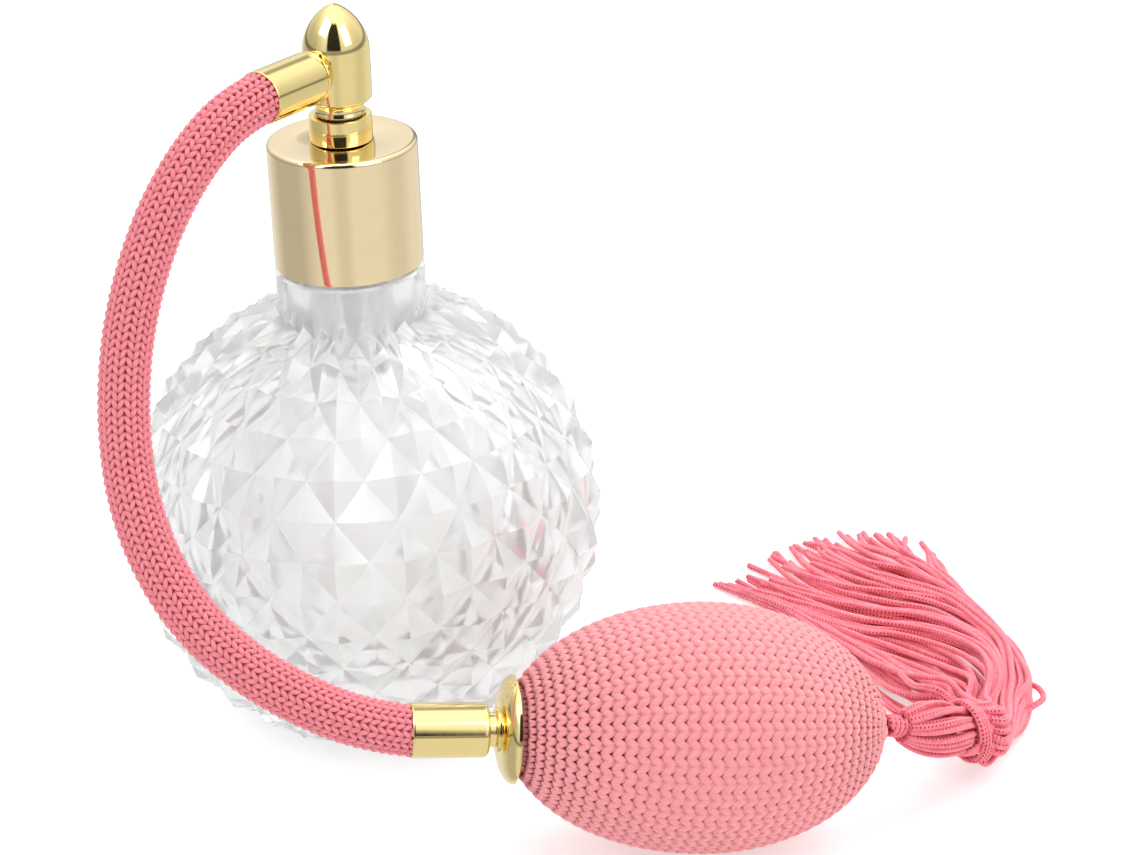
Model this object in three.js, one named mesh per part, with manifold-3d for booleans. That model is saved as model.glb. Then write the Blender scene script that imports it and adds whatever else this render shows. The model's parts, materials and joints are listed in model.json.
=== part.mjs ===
// A ball-shaped cut-glass perfume bottle with a gilt screw collar, a swivelling spray head, a knitted
// hose and a squeeze bulb with a cord tassel. Millimetres, +Z up, origin under the bottle's centre.
import * as THREE from "three";
import { mergeVertices } from "three/addons/utils/BufferGeometryUtils.js";
import Module from "manifold-3d";

const wasm = await Module();
wasm.setup();

// ---------------------------------------------------------------- driving dimensions
const GAP = 0.3; // room left between neighbouring pieces
const THIN_GAP = 0.2; // room between the small turned rings
const OVERSHOOT = 1; // how far a cutter runs past what it cuts
const ROUND = 32; // sides of a visible turned piece
const SMALL_ROUND = 16; // sides of a small or hidden one

// Glass ball: its surface is a net of grooves, with a four-sided point in each diamond between them.
const BALL_CENTRE_Z = 33.6;
const POINT_RADIUS = 40;
const GROOVE_RADIUS = 38.2;
const COLUMNS = 22; // diamonds around the ball
const ROWS = 13; // half-diamond steps from the foot to the shoulder
const LOWEST_ROW_DEG = -53.6;
const HIGHEST_ROW_DEG = 71.9;
const FIRST_CROSSING_DEG = -61;
const FOOT_RADIUS = 21.2;
const PUNT_RADIUS = 16;
const PUNT_DEPTH = 1.2;
const CAVITY_RADIUS = 30;
const CAVITY_CENTRE_Z = 35;

// Glass neck: a plain ring, then the threaded finish inside the collar.
const NECK_RING_RADIUS = 12.2;
const NECK_RING_TOP = 78.6;
const FINISH_RADIUS = 9.1;
const LIP_Z = 93.5;
const BORE_RADIUS = 7;
const THREAD_CREST_RADIUS = 9.8;
const THREAD_PITCH = 3;
const THREAD_TURNS = 1.5;
const THREAD_START_Z = 83;

// Screw closure.
const COLLAR_RADIUS = 12.15;
const COLLAR_WALL = 0.75;
const COLLAR_BOTTOM = 79.2;
const COLLAR_TOP = 100;
const COLLAR_PLATE = 0.9;
const LINER_RADIUS = COLLAR_RADIUS - COLLAR_WALL - GAP;
const LINER_BORE = THREAD_CREST_RADIUS + GAP;
const POST_HOLE_RADIUS = 3.9;
const POST_RADIUS = 3.4;
const SPIGOT_RADIUS = 2.2; // the post's upper end, which the head turns on
const CHANNEL_RADIUS = 0.7;
const TUBE_RADIUS = 1.5;
const TUBE_BORE = 0.9;
const TUBE_BOTTOM = 6.5;
const TUBE_TOP = 95.7;
const SPIGOT_TOP = 109.3;

// Two rings between the collar and the head.
const RING_RADIUS = 5.07;
const RING_HEIGHT = 1.9;

// Spray head, turning about +Z; the air arm leaves it towards the hose and the nozzle faces away.
const HEAD_RADIUS = 5.38;
const HEAD_NECK_RADIUS = 4.14;
const HEAD_BOTTOM = 104.4;
const HEAD_SHOULDER = 106.6;
const HEAD_DOME_Z = 114.8;
const HEAD_TOP = 122.4;
const HEAD_BORE = 3.4;
const HEAD_BORE_TOP = 115.4;
const ARM_Z = 112;
const ARM_DIRECTION = new THREE.Vector3(-0.62, -0.7846, 0).normalize();

// Hose and the two plain ferrules that grip it. Distances along an arm are from its own origin.
const FERRULE_RADIUS = 4.25;
const FERRULE_WALL = 0.25;
const FERRULE_END = 0.7;
const BARB_RADIUS = 1.3;
const WAIST_RADIUS = 2.3;
const STUB_RADIUS = 1.85;
const HEAD_FERRULE = [5.9, 17.9];
const BULB_FERRULE = [33.2, 45.7];
const SLEEVE_RADIUS = 3.7;
const SLEEVE_BORE = 3.1;
const TUBING_RADIUS = 2.7;
const TUBING_BORE = 1.7;
const HOSE_STEPS = 26;
const HOSE_SIDES = 10;
const HOSE_RUN_IN = 9.9; // how far the hose goes into each ferrule

// Squeeze bulb, lying on the table; its axis runs from the tassel end up towards the hose.
const BULB_CENTRE = new THREE.Vector3(53.8, -52.4, 20.25);
const BULB_AXIS = new THREE.Vector3(-0.979, -0.161, 0.122).normalize();
const COVER_RADIUS = 19.95;
const COVER_WALL = 0.9;
const COVER_HOSE_LENGTH = 31.8;
const COVER_TAIL_LENGTH = 29.6;
const COVER_HOSE_END = 28.9;
const COVER_TAIL_END = -29;
const RUBBER_WALL = 1.6;
const RUBBER_HOSE_END = 27.6;
const RUBBER_TAIL_END = -26.6;
const BULB_SIDES = 24;
const OPEN_END = 0.99; // share of an egg's half-length that a wall reaches at most, so its end stays open
const PRESS_RADIUS = 8; // thumb area on top of the rubber wall
const CUP_RIM_RADIUS = 8.45;
const CUP_RIM_Z = 29.7; // along the bulb's axis
const CUP_HOLE_RADIUS = 2.6;
const CUP_WALL = 0.5;
const VALVE_RADIUS = 2.2;
const VALVE_BALL_RADIUS = 0.9;

// Tassel: a looped head tied to the bulb's tail, a wrapped neck and a skirt that lies on the table.
const TASSEL_START = BULB_CENTRE.clone().addScaledVector(BULB_AXIS, -29.6);
const TASSEL_AXIS = new THREE.Vector3(0.763, 0.511, -0.397).normalize();
const LOOP_LENGTH = 4.4;
const TASSEL_HEAD_RADIUS = 5;
const BINDING_RADIUS = 5.5;
const BINDING_SPAN = [16.8, 22];
const SKIRT_BOTTOM = 0.25;
const SKIRT_HEIGHT = 5.6;

// Route of the hose's middle between the two ferrule mouths.
const HOSE_ROUTE = [
  [-11.1, -14, 112], [-16.3, -20.1, 110.2], [-21, -25.8, 106], [-25.1, -30.7, 100.1],
  [-28.2, -34.7, 93.3], [-30.5, -38, 85.8], [-31.8, -41.1, 78], [-32.1, -44.4, 70.1],
  [-31.3, -47.9, 62.5], [-29.1, -51.3, 55], [-25.4, -54.4, 48], [-20.3, -57, 41.7],
  [-13.8, -59, 36.4], [-6.6, -60.2, 32], [1.1, -60.6, 28.4], [9.06, -59.76, 25.83],
].map((p) => new THREE.Vector3(...p));

// Outline of the tassel's skirt on the table, from the wrapped neck round to the tips and back.
const SKIRT_OUTLINE = [
  [99, -36], [104, -33], [108, -27], [111, -16], [111, -4], [108, 8], [103, 21], [100, 36],
  [94, 42], [87, 47], [79, 40], [63, 27], [70, 17], [79, 4], [85, -9], [90, -17], [93, -27],
];

// ---------------------------------------------------------------- materials
const finish = (color, roughness, metalness = 0) =>
  new THREE.MeshStandardMaterial({ color, roughness, metalness });
const glass = finish(0xeef3f4, 0.05);
const champagneGold = finish(0xe3cfa5, 0.12, 1);
const yellowGold = finish(0xe8c868, 0.12, 1);
const brass = finish(0xc9a24c, 0.3, 1);
const steel = finish(0xb8bcc0, 0.25, 1);
const whitePlastic = finish(0xe8e8e4, 0.45);
const clearPlastic = finish(0xdfe6e8, 0.3);
const sealRubber = finish(0x2a2a2a, 0.7);
const pinkRubber = finish(0xe08a92, 0.6);
const pinkKnit = finish(0xec7f8c, 0.9);
const pinkCord = finish(0xf28a98, 0.85);

// ---------------------------------------------------------------- helpers
const group = new THREE.Group();

function place(name, geometry, material, parent = group) {
  const mesh = new THREE.Mesh(geometry, material);
  mesh.name = name;
  parent.add(mesh);
  return mesh;
}

// A frame whose +Z runs along direction from origin, for pieces turned about a slanted axis.
function frameAlong(origin, direction) {
  const frame = new THREE.Group();
  frame.position.copy(origin);
  frame.quaternion.setFromUnitVectors(new THREE.Vector3(0, 0, 1), direction);
  group.add(frame);
  frame.updateMatrixWorld(true);
  return frame;
}

function shoelace(points) {
  return points.reduce((sum, [r, z], i) => {
    const [nextR, nextZ] = points[(i + 1) % points.length];
    return sum + r * nextZ - nextR * z;
  }, 0);
}

// A solid of revolution about +Z from an outline of [radius, z] points, closed on itself.
function turned(outline, sides = ROUND) {
  const points = shoelace(outline) > 0 ? [...outline] : [...outline].reverse();
  points.push(points[0]);
  const lathe = new THREE.LatheGeometry(points.map(([r, z]) => new THREE.Vector2(r, z)), sides);
  return lathe.rotateX(Math.PI / 2);
}

// The same where the outline starts and ends on the axis, listed from the bottom up.
function turnedSolid(outline, sides = ROUND) {
  const points = outline.map(([r, z]) => new THREE.Vector2(r, z));
  return new THREE.LatheGeometry(points, sides).rotateX(Math.PI / 2);
}

const rod = (radius, low, high, sides = SMALL_ROUND) =>
  turnedSolid([[0, low], [radius, low], [radius, high], [0, high]], sides);

const ring = (outer, inner, low, high, sides = ROUND) =>
  turned([[inner, low], [outer, low], [outer, high], [inner, high]], sides);

function solid(geometry) {
  const bare = new THREE.BufferGeometry();
  bare.setAttribute("position", geometry.getAttribute("position"));
  bare.setIndex(geometry.index);
  const merged = mergeVertices(bare);
  return new wasm.Manifold(
    new wasm.Mesh({
      numProp: 3,
      vertProperties: Float32Array.from(merged.attributes.position.array),
      triVerts: Uint32Array.from(merged.index.array),
    }),
  );
}

function toGeometry(manifold) {
  const mesh = manifold.getMesh();
  const geometry = new THREE.BufferGeometry();
  geometry.setAttribute("position", new THREE.BufferAttribute(Float32Array.from(mesh.vertProperties), 3));
  geometry.setIndex(new THREE.BufferAttribute(Uint32Array.from(mesh.triVerts), 1));
  return geometry;
}

const cut = (geometry, ...tools) =>
  toGeometry(tools.reduce((body, tool) => body.subtract(solid(tool)), solid(geometry)));

const joined = (geometry, ...others) =>
  toGeometry(others.reduce((body, other) => body.add(solid(other)), solid(geometry)));

// Points of an arc in an [radius, z] outline, about a centre, from one angle to another in degrees.
function arc(centre, radii, from, to, steps) {
  return Array.from({ length: steps + 1 }, (_, i) => {
    const angle = THREE.MathUtils.degToRad(from + ((to - from) * i) / steps);
    return [centre[0] + radii[0] * Math.cos(angle), centre[1] + radii[1] * Math.sin(angle)];
  });
}

// ---------------------------------------------------------------- glass bottle
function onBall(radius, latitudeDeg, longitudeDeg) {
  const [lat, lon] = [latitudeDeg, longitudeDeg].map(THREE.MathUtils.degToRad);
  const flat = radius * Math.cos(lat);
  return [flat * Math.cos(lon), flat * Math.sin(lon), BALL_CENTRE_Z + radius * Math.sin(lat)];
}

// The ball's outside: groove crossings on every row, and a raised point in the diamond between
// two neighbouring crossings of one row.
function diamondBall() {
  const rowStep = (HIGHEST_ROW_DEG - LOWEST_ROW_DEG) / ROWS;
  const columnStep = 360 / COLUMNS;
  const latitude = (row) => LOWEST_ROW_DEG + row * rowStep;
  const longitude = (row, column) => FIRST_CROSSING_DEG + (column + (row % 2) / 2) * columnStep;
  const positions = [];
  const crossing = (row, column) => row * COLUMNS + ((column + COLUMNS) % COLUMNS);
  for (let row = 0; row <= ROWS; row++)
    for (let column = 0; column < COLUMNS; column++)
      positions.push(...onBall(GROOVE_RADIUS, latitude(row), longitude(row, column)));

  const index = [];
  for (let row = 0; row <= ROWS; row++)
    for (let column = 0; column < COLUMNS; column++) {
      const [left, right] = [crossing(row, column), crossing(row, column + 1)];
      const across = column + (row % 2);
      if (row === 0) index.push(left, right, crossing(1, across));
      else if (row === ROWS) index.push(left, crossing(row - 1, across), right);
      else {
        const point = positions.length / 3;
        positions.push(...onBall(POINT_RADIUS, latitude(row), longitude(row, column + 0.5)));
        const [below, above] = [crossing(row - 1, across), crossing(row + 1, across)];
        index.push(point, left, below, point, below, right, point, right, above, point, above, left);
      }
    }

  for (const [row, turn] of [[0, -1], [ROWS, 1]]) {
    const centre = positions.length / 3;
    positions.push(0, 0, onBall(GROOVE_RADIUS, latitude(row), 0)[2]);
    for (let column = 0; column < COLUMNS; column++) {
      const [left, right] = [crossing(row, column), crossing(row, column + 1)];
      index.push(centre, ...(turn > 0 ? [left, right] : [right, left]));
    }
  }
  const geometry = new THREE.BufferGeometry();
  geometry.setAttribute("position", new THREE.Float32BufferAttribute(positions, 3));
  geometry.setIndex(index);
  return geometry;
}

// A screw ridge of triangular section, wound up the neck, its foot sunk into the glass.
function threadRidge() {
  const stepsPerTurn = ROUND; // the neck's own facets, so the two meet edge to edge
  const steps = THREAD_TURNS * stepsPerTurn;
  const [foot, crest] = [FINISH_RADIUS - 0.4, THREAD_CREST_RADIUS];
  const section = [[foot, -0.8], [crest, -0.15], [crest, 0.15], [foot, 0.8]];
  const positions = [];
  for (let i = 0; i <= steps; i++) {
    const angle = (i / stepsPerTurn) * 2 * Math.PI;
    const rise = THREAD_START_Z + (i / stepsPerTurn) * THREAD_PITCH;
    for (const [r, z] of section) positions.push(r * Math.cos(angle), r * Math.sin(angle), rise + z);
  }
  const corners = section.length;
  const index = [];
  for (let i = 0; i < steps; i++)
    for (let k = 0; k < corners; k++) {
      const [a, b] = [i * corners + k, i * corners + ((k + 1) % corners)];
      index.push(a, a + corners, b, b, a + corners, b + corners);
    }
  const last = steps * corners;
  index.push(0, 1, 2, 0, 2, 3, last, last + 2, last + 1, last, last + 3, last + 2);
  const geometry = new THREE.BufferGeometry();
  geometry.setAttribute("position", new THREE.Float32BufferAttribute(positions, 3));
  geometry.setIndex(index);
  return geometry;
}

function glassBottle() {
  const insideBall = BALL_CENTRE_Z + 24;
  const neck = turnedSolid([
    [0, insideBall],
    [NECK_RING_RADIUS, insideBall],
    [NECK_RING_RADIUS, NECK_RING_TOP - 0.6],
    [NECK_RING_RADIUS - 0.6, NECK_RING_TOP],
    [FINISH_RADIUS, NECK_RING_TOP],
    [FINISH_RADIUS, LIP_Z - 0.5],
    [FINISH_RADIUS - 0.5, LIP_Z],
    [0, LIP_Z],
  ]);
  const footEdge = FOOT_RADIUS + 1.2;
  const foot = turnedSolid([[0, 0], [FOOT_RADIUS, 0], [footEdge, 1.6], [footEdge, 4], [0, 4]]);
  const openingDeg = THREE.MathUtils.radToDeg(Math.acos(BORE_RADIUS / CAVITY_RADIUS));
  const cavity = turnedSolid(
    [
      ...arc([0, CAVITY_CENTRE_Z], [CAVITY_RADIUS, CAVITY_RADIUS], -90, openingDeg, 10),
      [BORE_RADIUS, LIP_Z + OVERSHOOT],
      [0, LIP_Z + OVERSHOOT],
    ],
    ROUND,
  );
  const punt = turnedSolid([
    [0, -OVERSHOOT],
    [PUNT_RADIUS, -OVERSHOOT],
    [PUNT_RADIUS, 0],
    [PUNT_RADIUS / 2, PUNT_DEPTH],
    [0, PUNT_DEPTH],
  ]);
  return cut(joined(diamondBall(), neck, foot, threadRidge()), cavity, punt);
}

place("glass_bottle", glassBottle(), glass);

// ---------------------------------------------------------------- screw closure
const COLLAR_UNDER_PLATE = COLLAR_TOP - COLLAR_PLATE;
const GASKET_Z = LIP_Z + GAP;
const FLANGE_Z = GASKET_Z + 1 + GAP;
const FLANGE_TOP = FLANGE_Z + 1.5;

function outerCollar() {
  const inner = COLLAR_RADIUS - COLLAR_WALL;
  return turned([
    [inner, COLLAR_BOTTOM],
    [COLLAR_RADIUS - 0.25, COLLAR_BOTTOM],
    [COLLAR_RADIUS, COLLAR_BOTTOM + 0.25],
    ...arc([COLLAR_RADIUS - 0.8, COLLAR_TOP - 0.8], [0.8, 0.8], 0, 90, 4),
    [POST_HOLE_RADIUS, COLLAR_TOP],
    [POST_HOLE_RADIUS, COLLAR_UNDER_PLATE],
    [inner, COLLAR_UNDER_PLATE],
  ]);
}

function screwLiner() {
  const top = COLLAR_UNDER_PLATE - GAP;
  const plateZ = FLANGE_TOP + GAP;
  return turned([
    [LINER_BORE, COLLAR_BOTTOM + GAP],
    [LINER_RADIUS, COLLAR_BOTTOM + GAP],
    [LINER_RADIUS, top],
    [POST_HOLE_RADIUS, top],
    [POST_HOLE_RADIUS, plateZ],
    [LINER_BORE, plateZ],
  ]);
}

const SEAL_GROOVE = [107, 108.2];
const SEAL_RING_RADIUS = 1.93; // to the middle of the ring's own thickness
const SEAL_THICKNESS = 0.75;

function stemPlug() {
  const skirtBottom = LIP_Z - 3;
  const socketTop = TUBE_TOP + GAP;
  const grooveFloor = 1.4;
  return turned(
    [
      [TUBE_RADIUS + GAP, skirtBottom],
      [BORE_RADIUS - 0.4, skirtBottom],
      [BORE_RADIUS - 0.4, FLANGE_Z],
      [FINISH_RADIUS + 0.3, FLANGE_Z],
      [FINISH_RADIUS + 0.3, FLANGE_TOP],
      [POST_RADIUS, FLANGE_TOP],
      [POST_RADIUS, HEAD_BOTTOM - THIN_GAP],
      [SPIGOT_RADIUS, HEAD_BOTTOM - THIN_GAP],
      [SPIGOT_RADIUS, SEAL_GROOVE[0]],
      [grooveFloor, SEAL_GROOVE[0]],
      [grooveFloor, SEAL_GROOVE[1]],
      [SPIGOT_RADIUS, SEAL_GROOVE[1]],
      [SPIGOT_RADIUS, SPIGOT_TOP],
      [CHANNEL_RADIUS, SPIGOT_TOP],
      [CHANNEL_RADIUS, socketTop],
      [TUBE_RADIUS + GAP, socketTop],
    ],
    ROUND,
  );
}

function oRing(middle, z, thickness) {
  const corners = 8;
  const section = arc([middle, z], [thickness / 2, thickness / 2], 0, 360 * (1 - 1 / corners), corners - 1);
  return turned(section, SMALL_ROUND);
}

place("neck_gasket", ring(FINISH_RADIUS - 0.2, BORE_RADIUS, GASKET_Z, GASKET_Z + 1), sealRubber);
place("stem_plug", stemPlug(), whitePlastic);
place("dip_tube", ring(TUBE_RADIUS, TUBE_BORE, TUBE_BOTTOM, TUBE_TOP, SMALL_ROUND), clearPlastic);
const sealHeight = (SEAL_GROOVE[0] + SEAL_GROOVE[1]) / 2;
place("swivel_seal", oRing(SEAL_RING_RADIUS, sealHeight, SEAL_THICKNESS), sealRubber);
place("screw_liner", screwLiner(), whitePlastic);
place("outer_collar", outerCollar(), champagneGold);

const LOWER_RING_Z = COLLAR_TOP + THIN_GAP;
const UPPER_RING_Z = LOWER_RING_Z + RING_HEIGHT + THIN_GAP;

function turnedRing(low) {
  const edge = 0.15;
  const high = low + RING_HEIGHT;
  const bore = POST_RADIUS + GAP;
  return turned([
    [bore, low],
    [RING_RADIUS - edge, low],
    [RING_RADIUS, low + edge],
    [RING_RADIUS, high - edge],
    [RING_RADIUS - edge, high],
    [bore, high],
  ]);
}

place("lower_ring", turnedRing(LOWER_RING_Z), yellowGold);
place("upper_ring", turnedRing(UPPER_RING_Z), yellowGold);

// ---------------------------------------------------------------- spray head
const armFrame = frameAlong(new THREE.Vector3(0, 0, ARM_Z), ARM_DIRECTION);
const alongArm = (geometry) => geometry.applyMatrix4(armFrame.matrixWorld);
const NOZZLE_RADIUS = 1.6;
const CORE_RADIUS = HEAD_BORE - GAP;

function sprayHead() {
  const chamfer = 0.4;
  const shell = turned([
    [HEAD_BORE, HEAD_BOTTOM],
    [HEAD_NECK_RADIUS, HEAD_BOTTOM],
    [HEAD_NECK_RADIUS, HEAD_SHOULDER],
    [HEAD_RADIUS - chamfer, HEAD_SHOULDER],
    [HEAD_RADIUS, HEAD_SHOULDER + chamfer],
    ...arc([0, HEAD_DOME_Z], [HEAD_RADIUS, HEAD_TOP - HEAD_DOME_Z], 0, 90, 8),
    [0, HEAD_BORE_TOP],
    [HEAD_BORE, HEAD_BORE_TOP],
  ]);
  const armHole = alongArm(rod(STUB_RADIUS + GAP, 0, HEAD_RADIUS + OVERSHOOT));
  const nozzleHole = alongArm(rod(NOZZLE_RADIUS + THIN_GAP, -HEAD_RADIUS - OVERSHOOT, 0));
  return cut(shell, armHole, nozzleHole);
}

function headCore() {
  const low = HEAD_BOTTOM + GAP;
  const body = turned(
    [
      [SPIGOT_RADIUS + GAP, low],
      [CORE_RADIUS, low],
      [CORE_RADIUS, HEAD_BORE_TOP - GAP],
      [0, HEAD_BORE_TOP - GAP],
      [0, SPIGOT_TOP + GAP],
      [SPIGOT_RADIUS + GAP, SPIGOT_TOP + GAP],
    ],
    SMALL_ROUND,
  );
  const airway = alongArm(rod(CHANNEL_RADIUS, -CORE_RADIUS - OVERSHOOT, CORE_RADIUS + OVERSHOOT, 12));
  const riser = rod(CHANNEL_RADIUS, SPIGOT_TOP, ARM_Z, 12);
  return cut(body, airway, riser);
}

function nozzleInsert() {
  const [inner, outer] = [CORE_RADIUS + GAP, HEAD_RADIUS + 0.1];
  const orifice = 0.3;
  return turned(
    [[orifice, inner], [NOZZLE_RADIUS, inner], [NOZZLE_RADIUS, outer], [0.9, outer], [orifice, outer - 0.5]],
    SMALL_ROUND,
  );
}

// A hose fitting: a flange against the head, a waist through the ferrule's end and a barb in the hose.
const FLANGE_STEP = 0.55; // how far the flange stays inside the ferrule's outside
const FLANGE_START = 3;
const HEAD_ROOM_REACH = 8;

function armNipple() {
  const flange = rod(FERRULE_RADIUS - FLANGE_STEP, FLANGE_START, HEAD_FERRULE[0] + GAP);
  const headRoom = rod(HEAD_RADIUS + GAP, ARM_Z - HEAD_ROOM_REACH, ARM_Z + HEAD_ROOM_REACH, ROUND);
  const saddle = cut(alongArm(flange), headRoom);
  const stub = rod(STUB_RADIUS, CORE_RADIUS + GAP, HEAD_FERRULE[0]);
  const stem = joined(alongArm(stub), alongArm(barbedStem(HEAD_FERRULE[0])));
  const bore = alongArm(rod(CHANNEL_RADIUS, 0, HEAD_FERRULE[1], 12));
  return cut(joined(saddle, stem), bore);
}

function barbedStem(ferruleStart) {
  const waistEnd = ferruleStart + FERRULE_END + GAP + 0.4;
  return turnedSolid(
    [
      [0, ferruleStart - 0.5],
      [WAIST_RADIUS, ferruleStart - 0.5],
      [WAIST_RADIUS, waistEnd],
      [BARB_RADIUS - 0.2, waistEnd],
      [BARB_RADIUS - 0.2, waistEnd + 2.5],
      [BARB_RADIUS, waistEnd + 2.5],
      [BARB_RADIUS - 0.3, waistEnd + 5],
      [0, waistEnd + 5],
    ],
    SMALL_ROUND,
  );
}

// A thin drawn tube with one closed end; its hole lets the fitting's waist through.
function ferrule([start, end]) {
  const inner = FERRULE_RADIUS - FERRULE_WALL;
  return turned([
    [WAIST_RADIUS + GAP, start + GAP * 2],
    [FERRULE_RADIUS - 0.5, start + GAP * 2],
    ...arc([FERRULE_RADIUS - 0.5, start + GAP * 2 + 0.5], [0.5, 0.5], -60, 0, 2),
    [FERRULE_RADIUS, end - 0.1],
    [FERRULE_RADIUS - 0.1, end],
    [inner, end],
    [inner, start + FERRULE_END + GAP],
    [WAIST_RADIUS + GAP, start + FERRULE_END + GAP],
  ]);
}

place("spray_head", sprayHead(), yellowGold);
place("head_core", headCore(), whitePlastic);
place("arm_nipple", armNipple(), yellowGold);
place("arm_ferrule", ferrule(HEAD_FERRULE), yellowGold, armFrame);
const nozzle = place("nozzle_insert", nozzleInsert(), brass);
nozzle.position.z = ARM_Z;
nozzle.quaternion.setFromUnitVectors(new THREE.Vector3(0, 0, 1), ARM_DIRECTION.clone().negate());

// ---------------------------------------------------------------- hose
function hosePath() {
  const intoHead = HOSE_ROUTE[0].clone().addScaledVector(ARM_DIRECTION, -HOSE_RUN_IN);
  const intoBulb = HOSE_ROUTE.at(-1).clone().addScaledVector(BULB_AXIS, -HOSE_RUN_IN);
  const halfway = (a, b) => a.clone().lerp(b, 0.5);
  return new THREE.CatmullRomCurve3(
    [
      intoHead,
      halfway(intoHead, HOSE_ROUTE[0]),
      ...HOSE_ROUTE,
      halfway(intoBulb, HOSE_ROUTE.at(-1)),
      intoBulb,
    ],
    false,
    "centripetal",
  );
}

function hoseTube(path, outer, inner) {
  const section = new THREE.Shape();
  section.absarc(0, 0, outer, 0, 2 * Math.PI);
  section.holes.push(new THREE.Path().absarc(0, 0, inner, 0, 2 * Math.PI, true));
  return new THREE.ExtrudeGeometry(section, {
    extrudePath: path,
    steps: HOSE_STEPS,
    curveSegments: HOSE_SIDES / 2,
  });
}

const hose = hosePath();
place("hose_tubing", hoseTube(hose, TUBING_RADIUS, TUBING_BORE), pinkRubber);
place("hose_sleeve", hoseTube(hose, SLEEVE_RADIUS, SLEEVE_BORE), pinkKnit);

// ---------------------------------------------------------------- squeeze bulb
const bulbFrame = frameAlong(BULB_CENTRE, BULB_AXIS);
const alongBulb = (geometry) => geometry.applyMatrix4(bulbFrame.matrixWorld);

// Half-outline of an egg, two half-ellipses that meet at the widest place, from tail end to hose end.
function eggOutline(inset, tailEnd, hoseEnd, steps) {
  const radius = COVER_RADIUS - inset;
  const [tailLength, hoseLength] = [COVER_TAIL_LENGTH - inset, COVER_HOSE_LENGTH - inset];
  const from = Math.asin(Math.max(tailEnd / tailLength, -OPEN_END));
  const to = Math.asin(Math.min(hoseEnd / hoseLength, OPEN_END));
  return Array.from({ length: steps + 1 }, (_, i) => {
    const angle = from + ((to - from) * i) / steps;
    return [radius * Math.cos(angle), (angle > 0 ? hoseLength : tailLength) * Math.sin(angle)];
  });
}

function eggShell(inset, wall, tailEnd, hoseEnd, steps) {
  const outer = eggOutline(inset, tailEnd, hoseEnd, steps);
  const inner = eggOutline(inset + wall, tailEnd, hoseEnd, steps);
  return turned([...outer, ...inner.reverse()], BULB_SIDES);
}

// The thumb area is cut from the top of the rubber wall by an upright cylinder.
function pressCutter(radius) {
  const cutter = rod(radius, BULB_CENTRE.z, BULB_CENTRE.z + COVER_RADIUS);
  return cutter.translate(BULB_CENTRE.x, BULB_CENTRE.y, 0);
}

const rubberShell = () =>
  alongBulb(eggShell(COVER_WALL + GAP, RUBBER_WALL, RUBBER_TAIL_END, RUBBER_HOSE_END, 10));

function flaredCup() {
  const [rim, back, hole] = [CUP_RIM_Z, BULB_FERRULE[0] - 1.1, CUP_HOLE_RADIUS];
  const bell = (radius, low, high) => arc([hole + 0.9, low], [radius - hole - 0.9, high - low], 0, 90, 5);
  return turned([
    ...bell(CUP_RIM_RADIUS, rim, back),
    [hole, back],
    [hole, back - CUP_WALL],
    ...bell(CUP_RIM_RADIUS - CUP_WALL, rim, back - CUP_WALL).reverse(),
  ]);
}

// The air passage from the bulb to the hose, with a small collar that the cup is held by.
function cupNipple() {
  const [start, end] = BULB_FERRULE;
  const innerEnd = RUBBER_HOSE_END - 2.6;
  const stub = rod(STUB_RADIUS, innerEnd, start);
  const collar = rod(CUP_HOLE_RADIUS + 0.7, start - 0.8, start - 0.1);
  const bore = rod(CHANNEL_RADIUS, innerEnd - OVERSHOOT, end, 12);
  return cut(joined(stub, collar, barbedStem(start)), bore);
}

const VALVE_SEAT = -26.3;
const VALVE_MOUTH = -22.8;

const INLET_RADIUS = 0.45;
const VALVE_INNER_END = -28;

function valveBody() {
  const chamber = VALVE_BALL_RADIUS + 0.4;
  return turned(
    [
      [INLET_RADIUS, VALVE_INNER_END],
      [VALVE_RADIUS, VALVE_INNER_END],
      [VALVE_RADIUS, VALVE_MOUTH],
      [chamber, VALVE_MOUTH],
      [chamber, VALVE_SEAT],
      [INLET_RADIUS, VALVE_SEAT],
    ],
    SMALL_ROUND,
  );
}

place("bulb_ferrule", ferrule(BULB_FERRULE), yellowGold, bulbFrame);
place("cup_nipple", cupNipple(), yellowGold, bulbFrame);
place("flared_cup", flaredCup(), yellowGold, bulbFrame);
place("rubber_bulb", cut(rubberShell(), pressCutter(PRESS_RADIUS + GAP)), pinkRubber);
place("press_wall", toGeometry(solid(rubberShell()).intersect(solid(pressCutter(PRESS_RADIUS)))), pinkRubber);
place("bulb_cover", eggShell(0, COVER_WALL, COVER_TAIL_END, COVER_HOSE_END, 12), pinkKnit, bulbFrame);
place("valve_body", valveBody(), brass, bulbFrame);
const ball = place("valve_ball", new THREE.SphereGeometry(VALVE_BALL_RADIUS, 12, 8), steel, bulbFrame);
ball.position.z = VALVE_SEAT + VALVE_BALL_RADIUS + 0.15;
const RETAINER_Z = VALVE_MOUTH + GAP;
place("valve_retainer", ring(VALVE_RADIUS, 0.5, RETAINER_Z, RETAINER_Z + 0.6, SMALL_ROUND), brass, bulbFrame);

// ---------------------------------------------------------------- tassel
const tasselFrame = frameAlong(TASSEL_START, TASSEL_AXIS);

// The cord's knot at the bulb's tail, small enough for the head to swing round it.
function tasselLoop() {
  const end = LOOP_LENGTH;
  return turnedSolid([[0, GAP], [1.8, GAP], [2.7, 2], [2, end], [0, end]], SMALL_ROUND);
}

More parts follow.
